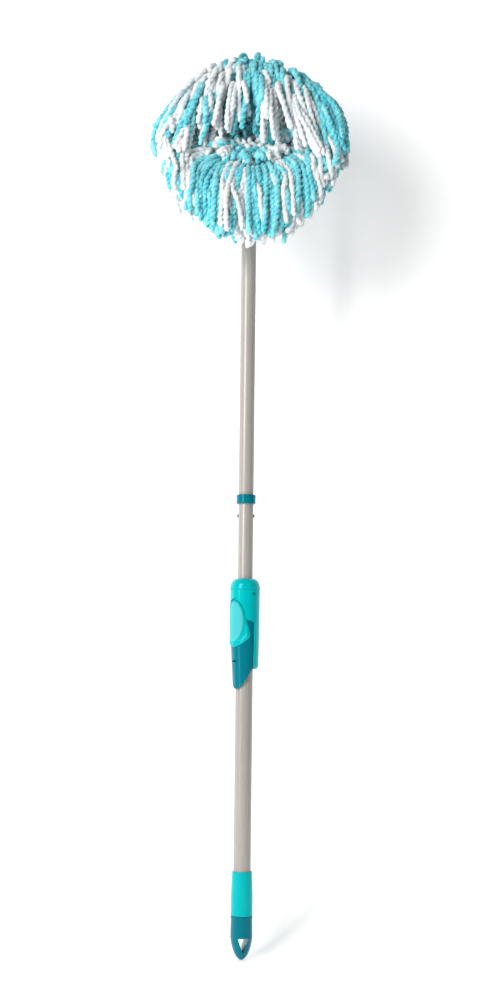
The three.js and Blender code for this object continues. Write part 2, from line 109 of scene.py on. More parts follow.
def add_stage():
    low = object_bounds()[0][2]
    profile = [(-4.0, low)]
    wall, bend = 0.14, 0.13
    for i in range(17):
        turn = math.pi / 2 * i / 16
        profile.append((wall - bend + bend * math.sin(turn), low + bend - bend * math.cos(turn)))
    profile.append((wall, 4.0))
    mesh = bpy.data.meshes.new("stage_sweep")
    verts = [(x, y, z) for y, z in profile for x in (-5, 5)]
    faces = [(2 * i, 2 * i + 1, 2 * i + 3, 2 * i + 2) for i in range(len(profile) - 1)]
    mesh.from_pydata(verts, [], faces)
    mesh.shade_smooth()
    sweep = bpy.data.objects.new("stage_sweep", mesh)
    bpy.context.collection.objects.link(sweep)
    material = bpy.data.materials.new("stage_white")
    material.use_nodes = True
    shader = material.node_tree.nodes["Principled BSDF"]
    shader.inputs["Base Color"].default_value = (0.93, 0.93, 0.93, 1)
    shader.inputs["Roughness"].default_value = 0.9
    shader.inputs["Emission Color"].default_value = (1, 1, 1, 1)
    shader.inputs["Emission Strength"].default_value = 0.3
    tree = material.node_tree
    clear = tree.nodes.new("ShaderNodeBsdfTransparent")
    mix = tree.nodes.new("ShaderNodeMixShader")
    tree.links.new(tree.nodes.new("ShaderNodeNewGeometry").outputs["Backfacing"], mix.inputs["Fac"])
    tree.links.new(shader.outputs["BSDF"], mix.inputs[1])
    tree.links.new(clear.outputs["BSDF"], mix.inputs[2])
    tree.links.new(mix.outputs["Shader"], tree.nodes["Material Output"].inputs["Surface"])
    mesh.materials.append(material)


# ---------------------------------------------------------------- materials
def linear(color):
    return tuple(c / 12.92 if c <= 0.04045 else ((c + 0.055) / 1.055) ** 2.4 for c in color)


class Finish:
    """A node material; its methods add one layer each to the shader's colour, roughness or bump."""

    def __init__(self, name, color, roughness, metallic=0.0, coat=0.0):
        self.material = bpy.data.materials.new(name)
        self.material.use_nodes = True
        self.tree = self.material.node_tree
        self.shader = self.tree.nodes["Principled BSDF"]
        self.shader.inputs["Roughness"].default_value = roughness
        self.shader.inputs["Metallic"].default_value = metallic
        self.shader.inputs["Coat Weight"].default_value = coat
        self.shader.inputs["Specular IOR Level"].default_value = 0.3
        self.shader.inputs["Base Color"].default_value = (*linear(color), 1)
        self.color = linear(color)
        self.roughness = roughness
        self.bump = None

    def node(self, kind, **values):
        node = self.tree.nodes.new(kind)
        for key, value in values.items():
            setattr(node, key, value)
        return node

    def link(self, source, target):
        self.tree.links.new(source, target)

    def coordinates(self, scale=(1, 1, 1)):
        place = self.node("ShaderNodeTexCoord")
        mapping = self.node("ShaderNodeMapping")
        mapping.inputs["Scale"].default_value = scale
        self.link(place.outputs["Object"], mapping.inputs["Vector"])
        return mapping.outputs["Vector"]

    def noise(self, scale, detail=3.0, stretch=(1, 1, 1), distortion=0.0):
        noise = self.node("ShaderNodeTexNoise")
        noise.inputs["Scale"].default_value = scale
        noise.inputs["Detail"].default_value = detail
        noise.inputs["Distortion"].default_value = distortion
        self.link(self.coordinates(stretch), noise.inputs["Vector"])
        return noise.outputs["Fac"]

    def remap(self, value, low, high, source=(0.3, 0.7)):
        ramp = self.node("ShaderNodeMapRange")
        ramp.inputs["From Min"].default_value, ramp.inputs["From Max"].default_value = source
        ramp.inputs["To Min"].default_value, ramp.inputs["To Max"].default_value = low, high
        self.link(value, ramp.inputs["Value"])
        return ramp.outputs["Result"]

    def vary_color(self, value, other, amount=1.0, source=(0.3, 0.7)):
        mix = self.node("ShaderNodeMix", data_type="RGBA")
        before = self.shader.inputs["Base Color"]
        if before.is_linked:
            self.link(before.links[0].from_socket, mix.inputs[6])
        else:
            mix.inputs[6].default_value = before.default_value
        mix.inputs[7].default_value = (*linear(other), 1)
        self.link(self.remap(value, 0, amount, source), mix.inputs["Factor"])
        self.link(mix.outputs[2], before)
        return self

    def vary_roughness(self, value, spread):
        low, high = self.roughness - spread, self.roughness + spread
        self.link(self.remap(value, low, high), self.shader.inputs["Roughness"])
        return self

    def add_bump(self, height, distance, strength=1.0):
        bump = self.node("ShaderNodeBump")
        bump.inputs["Distance"].default_value = distance
        bump.inputs["Strength"].default_value = strength
        self.link(height, bump.inputs["Height"])
        if self.bump:
            self.link(self.bump.outputs["Normal"], bump.inputs["Normal"])
        self.bump = bump
        self.link(bump.outputs["Normal"], self.shader.inputs["Normal"])
        return self


def moulded(name, color, shade, roughness=0.15, coat=0.04, grain=0.00002):
    finish = Finish(name, color, roughness, coat=coat)
    finish.shader.inputs["Coat Roughness"].default_value = 0.1
    finish.shader.inputs["Specular IOR Level"].default_value = 0.45
    finish.shader.inputs["Specular Tint"].default_value = tuple(0.12 + 0.8 * c for c in finish.color) + (1,)
    finish.vary_color(finish.noise(28, 3), shade, 0.5)
    finish.vary_roughness(finish.noise(260, 3), 0.04)
    finish.add_bump(finish.noise(900, 2), grain, 0.5)
    return finish.material


def coated_tube():
    finish = Finish("tube_coat", (0.68, 0.66, 0.635), 0.26, metallic=0.08)
    finish.shader.inputs["Specular IOR Level"].default_value = 0.5
    finish.shader.inputs["Specular Tint"].default_value = (0.45, 0.45, 0.43, 1)
    finish.vary_color(finish.noise(160, 4, (6, 6, 0.15)), (0.6, 0.58, 0.55), 0.35)
    finish.vary_roughness(finish.noise(420, 4, (5, 5, 0.08)), 0.06)
    finish.add_bump(finish.noise(900, 3, (4, 4, 0.05)), 0.000012)
    return finish.material


def metal(name, color, roughness, stretch=(1, 1, 1)):
    finish = Finish(name, color, roughness, metallic=1.0)
    finish.vary_roughness(finish.noise(500, 4, stretch), 0.08)
    finish.vary_color(finish.noise(90, 3), tuple(0.7 * c for c in color), 0.4)
    finish.add_bump(finish.noise(1200, 3, stretch), 0.00001)
    return finish.material


def yarn_material(name, ply_crown_light, middle, groove_shade):
    finish = Finish(name, middle, 0.95)
    finish.shader.inputs["Sheen Weight"].default_value = 0.5
    finish.shader.inputs["Sheen Roughness"].default_value = 0.5
    finish.shader.inputs["Subsurface Weight"].default_value = 0.3
    finish.shader.inputs["Subsurface Radius"].default_value = (1.0, 1.0, 1.0)
    finish.shader.inputs["Subsurface Scale"].default_value = 0.004
    finish.shader.inputs["Specular IOR Level"].default_value = 0.15
    # Painted light and shade: the per-vertex attribute from twisted_tube paints the ply crowns in the lit colour
    # (painted highlight) and the grooves between the plies in the shaded colour (painted shade).
    ply = finish.node("ShaderNodeAttribute", attribute_name="ply_crown_light")
    finish.vary_color(ply.outputs["Fac"], ply_crown_light, 0.6, (0.45, 1.0))
    finish.vary_color(ply.outputs["Fac"], groove_shade, 0.6, (0.45, 0.05))
    # The noise layers spread random darker and paler patches of the yarn's own tone, in the same two colours.
    finish.vary_color(finish.noise(16, 2), groove_shade, 0.3, (0.46, 0.68))
    finish.vary_color(finish.noise(60, 3), groove_shade, 0.45, (0.54, 0.74))
    finish.vary_color(finish.noise(85, 3), ply_crown_light, 0.8, (0.47, 0.62))
    finish.vary_color(finish.noise(380, 4), ply_crown_light, 0.8, (0.48, 0.66))
    finish.vary_color(finish.noise(900, 4), groove_shade, 0.45, (0.5, 0.7))
    finish.add_bump(finish.noise(1300, 5, distortion=0.6), 0.0006, 0.9)
    finish.add_bump(finish.noise(450, 3), 0.0007, 0.7)
    return finish.material


def woven():
    finish = Finish("band_weave", (0.86, 0.88, 0.88), 0.9)
    finish.shader.inputs["Sheen Weight"].default_value = 0.3
    for direction in ("X", "Y"):
        wave = finish.node("ShaderNodeTexWave", bands_direction=direction)
        wave.inputs["Scale"].default_value = 260
        wave.inputs["Distortion"].default_value = 1.5
        finish.link(finish.coordinates(), wave.inputs["Vector"])
        finish.add_bump(wave.outputs["Fac"], 0.0002, 0.7)
    finish.vary_color(finish.noise(300, 4), (0.7, 0.75, 0.76), 0.5)
    return finish.material


def make_materials():
    return {
        "teal_plastic": moulded("teal_moulded", (0.0, 0.455, 0.52), (0.0, 0.435, 0.50)),
        "mint_plastic": moulded("mint_moulded", (0.0, 0.715, 0.725), (0.0, 0.695, 0.71)),
        "pale_mint_pad": moulded("pad_soft_touch", (0.27, 0.73, 0.745), (0.25, 0.715, 0.735), 0.5, 0.05, 0.00005),
        "coated_tube": coated_tube(),
        "bright_steel": metal("steel_drawn", (0.66, 0.66, 0.66), 0.3, (1, 1, 0.1)),
        "button_steel": metal("steel_button", (0.5, 0.49, 0.48), 0.28),
        "screw_steel": metal("steel_dark", (0.2, 0.21, 0.22), 0.4),
        "dark_plastic": moulded("dark_moulded", (0.13, 0.16, 0.18), (0.1, 0.12, 0.14), 0.45, 0.05, 0.00004),
        "white_plastic": moulded("white_acetal", (0.88, 0.88, 0.86), (0.82, 0.82, 0.8), 0.4, 0.05),
        "textile": woven(),
        # Each yarn gets a lit colour painted on the ply crowns, its own middle colour, and a shaded colour painted in
        # the grooves between the plies.
        "yarn": yarn_material("yarn_turquoise", (0.62, 0.93, 0.955), (0.20, 0.80, 0.86), (0.0, 0.60, 0.68)),
        "yarn_white": yarn_material("yarn_white", (0.98, 0.97, 0.975), (0.93, 0.935, 0.935), (0.62, 0.80, 0.83)),
    }


materials = make_materials()


# ---------------------------------------------------------------- mesh helpers
def new_piece(name, verts, faces, material, body, slot, nodes=(), smooth=True):
    mesh = bpy.data.meshes.new(name)
    mesh.from_pydata([tuple(map(float, v)) for v in verts], [], faces)
    mesh.validate()
    obj = bpy.data.objects.new(name, mesh)
    bpy.context.collection.objects.link(obj)
    bm = bmesh.new()
    bm.from_mesh(mesh)
    bmesh.ops.remove_doubles(bm, verts=bm.verts, dist=1e-7)
    bmesh.ops.recalc_face_normals(bm, faces=bm.faces)
    bm.to_mesh(mesh)
    bm.free()
    if smooth:
        mesh.shade_smooth()
    mesh.materials.append(materials[material])
    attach(obj, body)
    if nodes:
        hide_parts(*nodes)
    return obj


def use_modifiers(obj):
    """Applies the object's modifiers to its mesh."""
    graph = bpy.context.evaluated_depsgraph_get()
    mesh = bpy.data.meshes.new_from_object(obj.evaluated_get(graph))
    old = obj.data
    obj.modifiers.clear()
    obj.data = mesh
    bpy.data.meshes.remove(old)


def soften(obj, width, segments=3, angle=32):
    bevel = obj.modifiers.new("edge", "BEVEL")
    bevel.width = width
    bevel.segments = segments
    bevel.limit_method = "ANGLE"
    bevel.angle_limit = math.radians(angle)
    bevel.harden_normals = False
    use_modifiers(obj)
    obj.data.shade_smooth()
    obj.data.set_sharp_from_angle(angle=math.radians(50))


def spun(profile, sides=96):
    """Vertices and faces of a profile of (radius, height) in mm, turned about Z. It closes on itself."""
    verts, faces = [], []
    count = len(profile)
    for i in range(sides):
        turn = 2 * math.pi * i / sides
        for radius, height in profile:
            verts.append((radius * math.cos(turn) * MM, radius * math.sin(turn) * MM, height * MM))
    for i in range(sides):
        j = (i + 1) % sides
        for k in range(count):
            m = (k + 1) % count
            faces.append((i * count + k, j * count + k, j * count + m, i * count + m))
    return verts, faces


def rounded(points, radius, steps=4):
    """Rounds each corner of a closed (radius, height) profile by the given size."""
    out = []
    for i, point in enumerate(points):
        here = np.array(point, float)
        before = np.array(points[i - 1], float) - here
        after = np.array(points[(i + 1) % len(points)], float) - here
        reach = min(radius, 0.45 * np.linalg.norm(before), 0.45 * np.linalg.norm(after))
        start = here + before / np.linalg.norm(before) * reach
        end = here + after / np.linalg.norm(after) * reach
        for k in range(steps + 1):
            t = k / steps
            out.append(tuple((1 - t) ** 2 * start + 2 * t * (1 - t) * here + t * t * end))
    return out


def turned_about(point, degrees):
    turn = math.radians(degrees)
    x, y, z = point
    return (x * math.cos(turn) - y * math.sin(turn), x * math.sin(turn) + y * math.cos(turn), z)


# ---------------------------------------------------------------- tubes and grip
OUTER_R, INNER_R, WALL = 12.5, 10.8, 0.9
LOCK_YAW = -46


def height_range(node):
    low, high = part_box(node)
    return low[2] / MM, high[2] / MM


def tube(name, radius, body, chamfer=0.3):
    low, high = height_range(name)
    profile = rounded([(radius - WALL, low), (radius, low), (radius, high), (radius - WALL, high)], chamfer)
    verts, faces = spun(profile)
    return new_piece(f"{name}_fine", verts, faces, "coated_tube", body, "coated_tube", [name])


def button_holes(obj, z, radius):
    """Cuts the two button holes through a tube's walls."""
    cutter = rod_object("hole_tool", radius, 40, (0, 0, z), "x")
    subtract(obj, cutter)


def rod_object(name, radius, length, centre, axis, sides=40, yaw=0):
    verts, faces = [], []
    for end in (-0.5, 0.5):
        for i in range(sides):
            turn = 2 * math.pi * i / sides
            a, b, c = radius * math.cos(turn), radius * math.sin(turn), end * length
            point = {"x": (c, a, b), "y": (a, c, b), "z": (a, b, c)}[axis]
            point = tuple(p + q for p, q in zip(point, centre))
            verts.append(tuple(v * MM for v in turned_about(point, yaw)))
    faces.append(tuple(range(sides)))
    faces.append(tuple(range(2 * sides - 1, sides - 1, -1)))
    for i in range(sides):
        j = (i + 1) % sides
        faces.append((i, j, sides + j, sides + i))
    mesh = bpy.data.meshes.new(name)
    mesh.from_pydata(verts, [], faces)
    obj = bpy.data.objects.new(name, mesh)
    bpy.context.collection.objects.link(obj)
    bm = bmesh.new()
    bm.from_mesh(mesh)
    bmesh.ops.recalc_face_normals(bm, faces=bm.faces)
    bm.to_mesh(mesh)
    bm.free()
    return obj


def subtract(obj, tool):
    tool.data.materials.append(obj.data.materials[0])
    modifier = obj.modifiers.new("cut", "BOOLEAN")
    modifier.operation = "DIFFERENCE"
    modifier.solver = "EXACT"
    modifier.object = tool
    use_modifiers(obj)
    bpy.data.objects.remove(tool)


def add_tubes():
    tube("outer_tube", OUTER_R, "handle")
    inner = tube("inner_tube", INNER_R, "mast", 0.2)
    low, high = height_range("head_tube")
    shoulder = height_range("inner_tube")[1]
    neck = INNER_R - WALL - 0.3
    profile = [
        (neck - 0.9, low), (neck, low), (neck, shoulder), (INNER_R, shoulder + 0.8), (INNER_R, high),
        (INNER_R - WALL, high), (INNER_R - WALL, shoulder + 2.4), (neck - 0.9, shoulder + 0.4),
    ]
    verts, faces = spun(rounded(profile, 0.25))
    new_piece("head_tube_fine", verts, faces, "coated_tube", "mast", "coated_tube", ["head_tube"])
    z = sum(height_range("snap_button_left")) / 2
    button_holes(inner, z, 2.8)
    inner.data.shade_smooth()
    inner.data.set_sharp_from_angle(angle=math.radians(40))
    for side, name in ((-1, "snap_button_left"), (1, "snap_button_right")):
        profile = [(0.01, 4.2), (1.2, 4.2), (1.2, 8), (2.5, 8.2)]
        for i in range(9):
            turn = math.pi / 2 * i / 8
            profile.append((2.5 * math.cos(turn) + 0.01, 11.2 + 1.7 * math.sin(turn)))
        verts, faces = spun(profile, 40)
        verts = [(side * v[2], v[0], v[1] + z * MM) for v in verts]
        body = "button_left" if side < 0 else "button_right"
        new_piece(f"{name}_fine", verts, faces, "button_steel", body, "button_steel", [name])


def add_collar_ring():
    low, high = height_range("collar_ring")
    middle = (low + high) / 2
    profile = [(11.1, low), (13.7, low), (14, low + 1.2), (13.85, middle), (14, high - 1.2), (13.7, high), (11.1, high)]
    verts, faces = spun(rounded(profile, 0.8))
    new_piece("collar_ring_fine", verts, faces, "teal_plastic", "mast", "teal_plastic", ["collar_ring"])


def cap_radius(z):
    tip = 35
    fall = max(0.0, (tip - z) / tip)
    return 16 * math.sqrt(1 - fall ** 1.6)


def add_grip():
    low, high = height_range("grip_cap")
    profile = [(0.01, low)]
    for i in range(1, 31):
        z = 35 * (1 - math.cos(math.pi / 2 * i / 30))
        profile.append((cap_radius(z), z))
    rim = rounded([(16, 60), (16, high), (12.8, high), (12.8, 42), (0.01, 42)], 0.6)
    verts, faces = spun(profile + rim[:-3] + [(0.01, 42)])
    cap = new_piece("grip_cap_fine", verts, faces, "teal_plastic", "handle", "teal_plastic", ["grip_cap"])
    subtract(cap, slot_tool())
    soften(cap, 0.0009, 4, 35)
    sleeve_low, sleeve_high = height_range("grip_sleeve")
    profile = [
        (12.8, sleeve_low), (15.9, sleeve_low), (16.0, sleeve_low + 3.4), (15.72, sleeve_low + 4.6),
        (15.8, sleeve_low + 6), (15.74, sleeve_low + 30), (15.2, sleeve_high - 17), (14.55, sleeve_high - 0.9),
        (13.9, sleeve_high), (12.8, sleeve_high),
    ]
    verts, faces = spun(rounded(profile, 1.4, 6))
    new_piece("grip_sleeve_fine", verts, faces, "mint_plastic", "handle", "mint_plastic", ["grip_sleeve"])


def slot_tool():
    """The hang slot's prism: a triangle with round corners, point down, turned a little about the pole."""
    corners = rounded([(-8.1, 32.8), (8.1, 32.8), (0, 9.8)], 2.6, 8)
    verts = []
    for y in (-30, 30):
        verts += [tuple(v * MM for v in turned_about((x, y, z), 12)) for x, z in corners]
    count = len(corners)
    faces = [tuple(range(count)), tuple(range(2 * count - 1, count - 1, -1))]
    faces += [(i, (i + 1) % count, count + (i + 1) % count, count + i) for i in range(count)]
    mesh = bpy.data.meshes.new("slot_tool")
    mesh.from_pydata(verts, [], faces)
    obj = bpy.data.objects.new("slot_tool", mesh)
    bpy.context.collection.objects.link(obj)
    bm = bmesh.new()
    bm.from_mesh(mesh)
    bmesh.ops.recalc_face_normals(bm, faces=bm.faces)
    bm.to_mesh(mesh)
    bm.free()
    return obj


# ---------------------------------------------------------------- lock unit
def wrapped(loops, yaw=LOCK_YAW):
    """Joins closed loops of (x, z, radius) in mm, laid on cylinders about the pole, into a closed plate."""
    verts, faces = [], []
    count = len(loops[0])
    for loop in loops:
        for x, z, radius in loop:
            y = -math.sqrt(max(radius * radius - x * x, 0))
            verts.append(tuple(v * MM for v in turned_about((x, y, z), yaw)))
    for k in range(len(loops) - 1):
        for i in range(count):
            j = (i + 1) % count
            faces.append((k * count + i, k * count + j, (k + 1) * count + j, (k + 1) * count + i))
    return verts, faces


def shell_surface(columns, rows, angle_of, bottom_of, top_of, radius_of):
    """A grid on the lock unit's skin: columns run around the pole, rows from the bottom to the top edge."""
    verts, faces = [], []
    for j in range(columns + 1):
        angle = angle_of(j / columns)
        bottom, top = bottom_of(angle), top_of(angle)
        for i in range(rows + 1):
            z = bottom + (top - bottom) * i / rows
            radius = radius_of(z)
            turn = math.radians(angle + LOCK_YAW)
            verts.append((radius * math.sin(turn) * MM, -radius * math.cos(turn) * MM, z * MM))
    for j in range(columns):
        for i in range(rows):
            a = j * (rows + 1) + i
            faces.append((a, a + rows + 1, a + rows + 2, a + 1))
    return verts, faces


def thicken(obj, wall):
    solidify = obj.modifiers.new("wall", "SOLIDIFY")
    solidify.thickness = wall
    solidify.offset = -1
    use_modifiers(obj)


def polar_loop(outline, centre, count=144):
    """Samples a closed outline at even angles about its centre."""
    points = np.array(outline) - np.array(centre)
    angles = np.unwrap(np.arctan2(points[:, 1], points[:, 0]))
    if angles[-1] < angles[0]:
        angles, points = angles[::-1], points[::-1]
    reach = np.hypot(points[:, 0], points[:, 1])
    wanted = angles[0] + np.arange(count) * 2 * math.pi / count
    around = np.concatenate([angles, angles[:1] + 2 * math.pi])
    length = np.interp(wanted, around, np.concatenate([reach, reach[:1]]))
    order = np.argsort(np.mod(wanted, 2 * math.pi))
    wanted, length = wanted[order], length[order]
    return np.stack([centre[0] + length * np.cos(wanted), centre[1] + length * np.sin(wanted)], 1)


def curve_points(start, control, end, steps=16):
    t = np.linspace(0, 1, steps, endpoint=False)[:, None]
    start, control, end = map(np.array, (start, control, end))
    return list((1 - t) ** 2 * start + 2 * t * (1 - t) * control + t * t * end)


def lever_outline(room=0.0):
    bottom, arch, top = 449 - room, 488, 516 + room
    low, wide, narrow = 463 - room * 0.6, 19.2 + room, 16.2 + room
    right = curve_points((0, bottom), (wide * 0.72, bottom + 1), (wide, low))
    right += curve_points((wide, low), (wide, (low + 466) / 2), (wide, 466))
    right += curve_points((wide, 466), (wide, arch - 12), (narrow, arch))
    right += curve_points((narrow, arch), (narrow - 1.5, top - 2), (0, top))
    left = [np.array((-x, z)) for x, z in reversed(right[1:])]
    return [tuple(p) for p in right + [np.array((0, top))] + left]


def pad_outline(room=0.0):
    turns = np.linspace(0, 2 * math.pi, 181)[:-1]
    return [((14.2 + room) * math.cos(t), 485.5 + (28.5 + room) * math.sin(t)) for t in turns]


def station(loop, radius, shrink=0.0, centre=(0, 485.5)):
    """One loop of a wrapped plate, pulled in towards the centre by shrink mm."""
    offset = loop - np.array(centre)
    length = np.hypot(offset[:, 0], offset[:, 1])[:, None]
    pulled = np.array(centre) + offset * np.maximum(length - shrink, 0.05) / length
    return [(x, z, radius) for x, z in pulled]


def scaled(loop, factor, radius, centre=(0, 485.5)):
    return [(x, z, radius) for x, z in np.array(centre) + (loop - np.array(centre)) * factor]


def add_lever():
    centre = (0, 485.5)
    outer = polar_loop(lever_outline(), centre)
    pocket = polar_loop(pad_outline(0.35), centre)
    loops = [scaled(pocket, f, 21.05) for f in (0.02, 0.35, 0.7, 0.95)]
    loops += [station(pocket, 21.05), station(pocket, 21.04, -0.2)]
    for blend, radius in ((0.1, 20.95), (0.3, 20.85), (0.48, 20.9), (0.6, 21.2), (0.7, 21.75), (0.8, 22.05)):
        loops.append([(x, z, radius) for x, z in pocket * (1 - blend) + outer * blend])
    for step in range(7):
        turn = math.pi / 2 * step / 6
        loops.append(station(outer, 22.05 - 0.8 * (1 - math.cos(turn)), 0.8 * (1 - math.sin(turn))))
    loops += [station(outer, 20.5), station(outer, 20.3, 0.2)]
    loops += [scaled(outer, f, 20.3) for f in (0.9, 0.6, 0.3, 0.02)]
    verts, faces = wrapped(loops)
    lever = new_piece("lock_lever_fine", verts, faces, "mint_plastic", "lock_lever", "mint_plastic", ["lock_lever"])
    close_holes(lever)
    add_lever_hinge()
    pad = polar_loop(pad_outline(), centre)
    loops = []
    for f in (0.02, 0.3, 0.6, 0.8, 0.92):
        loops.append(scaled(pad, f, 22.12 - 0.12 * f * f))
    for step in range(7):
        turn = math.pi / 2 * step / 6
        loops.append(station(pad, 22.0 - 0.5 * (1 - math.cos(turn)), 0.6 * (1 - math.sin(turn))))
    loops += [station(pad, 21.3)]
    loops += [scaled(pad, f, 21.3) for f in (0.9, 0.5, 0.02)]
    verts, faces = wrapped(loops)
    pad_piece = new_piece("lever_pad_fine", verts, faces, "pale_mint_pad", "lock_lever", "pale_mint_pad", ["lever_pad"])
    close_holes(pad_piece)


def add_lever_hinge():
    """The boss that turns on the lever pin, and the curved skirt that closes the arch behind the plate."""
    verts, faces = [], []
    for radius in (19.3, 18.9):
        for i in range(49):
            turn = math.radians(-35 + 70 * i / 48 + LOCK_YAW)
            top = 517.5 - 5 * (abs(i - 24) / 24) ** 2
            for z in (507, top):
                verts.append((radius * math.sin(turn) * MM, -radius * math.cos(turn) * MM, z * MM))
    for i in range(48):
        for a, b in ((0, 98), (98, 0)):
            faces.append((a + 2 * i, a + 2 * i + 2, a + 2 * i + 3, a + 2 * i + 1))
        for edge in (0, 1):
            faces.append((2 * i + edge, 2 * i + 2 + edge, 2 * i + 100 + edge, 2 * i + 98 + edge))
    faces += [(0, 1, 99, 98), (96, 97, 195, 194)]
    new_piece("lever_skirt", verts, [f for k, f in enumerate(faces) if f not in faces[:k]], "mint_plastic",
              "lock_lever", "mint_plastic", smooth=False)
    boss = rod_object("lever_boss", 2.6, 12, (0, -15.9, 509), "x", 32, LOCK_YAW)
    boss.data.materials.append(materials["mint_plastic"])
    boss.data.shade_smooth()
    boss.data.set_sharp_from_angle(angle=math.radians(40))
    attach(boss, "lock_lever")


def close_holes(obj):
    bm = bmesh.new()
    bm.from_mesh(obj.data)
    edges = [e for e in bm.edges if e.is_boundary]
    bmesh.ops.holes_fill(bm, edges=edges, sides=0)
    bmesh.ops.recalc_face_normals(bm, faces=bm.faces)
    bm.to_mesh(obj.data)
    bm.free()
    obj.data.shade_smooth()
    obj.data.set_sharp_from_angle(angle=math.radians(60))


def add_dome():
    low, high = height_range("dome_cap")
    wide, tall = 9.6, 15.2
    profile = [(11.3, low), (21.6, low), (21.8, low + 0.5)]
    for i in range(17):
        turn = math.pi / 2 * i / 16
        profile.append((21.8 - wide * (1 - math.cos(turn)), high - tall * (1 - math.sin(turn))))
    profile += [(11.9, high), (11.3, high - 0.6)]
    verts, faces = spun(profile)
    new_piece("dome_cap_fine", verts, faces, "mint_plastic", "handle", "mint_plastic", ["dome_cap"])


def upper_bottom(angle):
    """The lower edge of the upper shell in front: the lever's arch, then a slope to the back."""
    side = abs(angle)
    x = 21.4 * math.sin(math.radians(side)) if side < 90 else 99
    if x < 16.5:
        return 488 + 30 * math.sqrt(1 - (x / 16.5) ** 2)
    if side < 50.6:
        return 488.0
    return 488 - 4 * min((side - 50.6) / 38, 1)


def add_upper_shell():
    top = height_range("upper_shell")[1]
    low = height_range("upper_shell")[0]
    ring = shell_surface(240, 20, lambda t: -180 + 360 * t, upper_bottom, lambda a: top, lambda z: 21.4)
    shell = new_piece("upper_shell_fine", *ring, "mint_plastic", "handle", "mint_plastic", ["upper_shell"])
    thicken(shell, 1.8 * MM)
    for yaw in (84, -84):
        subtract(shell, rod_object("screw_tool", 2.0, 14, (0, -20, 525), "y", 32, LOCK_YAW + yaw))
    soften(shell, 0.00045, 3, 40)

    def tongue_bottom(angle):
        edge = min(angle - 88.6, 271.4 - angle)
        reach = math.radians(edge) * 21
        return low + 7 - math.sqrt(max(49 - max(7 - reach, 0) ** 2, 0)) if reach < 7 else low

    def tongue_radius(z):
        end = max((low + 7 - z) / 7, 0)
        return 20.4 + (z - low) / (485 - low) - 3.5 * (1 - math.sqrt(1 - end * end))

    back = shell_surface(160, 60, lambda t: 88.6 + 182.8 * t, tongue_bottom, lambda a: 485, tongue_radius)
    tongue = new_piece("upper_shell_tongue", *back, "mint_plastic", "handle", "mint_plastic")
    thicken(tongue, 1.9 * MM)
    soften(tongue, 0.00055, 3, 40)


def lower_radius(z):
    return 16.3 + (19.9 - 16.3) * min(max((z - 388) / 64, 0), 1)


def add_lower_shell():
    low = height_range("lower_shell")[0]

    def bottom(angle):
        return low + 30 * (1 - math.cos(math.radians(angle))) / (1 - math.cos(math.radians(86)))

    def top(angle):
        rise = min(max((abs(angle) - 52) / 5, 0), 1)
        return 463.5 + (upper_bottom(angle) - 464) * rise * rise * (3 - 2 * rise)

    grid = shell_surface(120, 60, lambda t: -86 + 172 * t, bottom, top, lower_radius)
    shell = new_piece("lower_shell_fine", *grid, "teal_plastic", "handle", "teal_plastic", ["lower_shell"])
    thicken(shell, 1.7 * MM)
    subtract(shell, catch_tool())
    soften(shell, 0.0006, 4, 40)


def catch_tool():
    """A flat block for the small catch window in the lower shell."""
    verts = []
    for x in (-7, 2):
        for y in (-26, -16):
            for z in (427.4, 429.7):
                verts.append(tuple(v * MM for v in turned_about((x, y, z), LOCK_YAW)))
    faces = [(0, 1, 3, 2), (4, 6, 7, 5), (0, 4, 5, 1), (2, 3, 7, 6), (0, 2, 6, 4), (1, 5, 7, 3)]
    mesh = bpy.data.meshes.new("catch_tool")
    mesh.from_pydata(verts, [], faces)
    obj = bpy.data.objects.new("catch_tool", mesh)
    bpy.context.collection.objects.link(obj)
    bm = bmesh.new()
    bm.from_mesh(mesh)
    bmesh.ops.recalc_face_normals(bm, faces=bm.faces)
    bm.to_mesh(mesh)
    bm.free()
    return obj


# ---------------------------------------------------------------- yarn
PIVOT = np.array(joints["head_tilt"]["pos_m"])
FRONT = np.array(joints["refill_release"]["axis"])
SIDE = np.array([1.0, 0.0, 0.0])
UP = np.cross(FRONT, SIDE)
DOWN = np.array([0.0, 0.0, -1.0])
SEGMENTS = 18
STRAND_WIDTH = 0.0074
SQUEEZED_WIDTH = 0.0064
CENTRE = 1.163
# root radius, root height over the pivot, count, and for folded strands: reach of the fold, depth, slant, fall
ROWS = [
    (0.068, 0.036, 76, 0.148, 0.006, 1.05, 0.104),
    (0.063, 0.038, 72, 0.144, 0.013, 0.90, 0.098),
    (0.058, 0.040, 66, 0.134, 0.021, 0.72, 0.088),
    (0.053, 0.041, 60, 0.120, 0.029, 0.55, 0.080),
    (0.048, 0.041, 52, 0.105, 0.037, 0.42, 0.066),
]
TIP_TURN = ((0, 0), (60, 84), (90, 112), (120, 135), (150, 158), (180, 180))
OUTLINE = ((-180, 0.138), (-145, 0.127), (-115, 0.116), (-98, 0.117), (-82, 0.127), (-60, 0.122), (-28, 0.126),
           (0, 0.133), (40, 0.127), (66, 0.137), (80, 0.132), (105, 0.123), (135, 0.133), (180, 0.138))
EYE = np.array([0.0, -1.98, 0.445])


def on_face(x, z, y):
    """The point at depth y that looks, from the eye, like the point (x, z) in the pole's plane."""
    nearer = (y - EYE[1]) / -EYE[1]
    return np.array([x * nearer, y, EYE[2] + (z - EYE[2]) * nearer])


def read_curve(curve, x):
    return float(np.interp(x, [p[0] for p in curve], [p[1] for p in curve]))


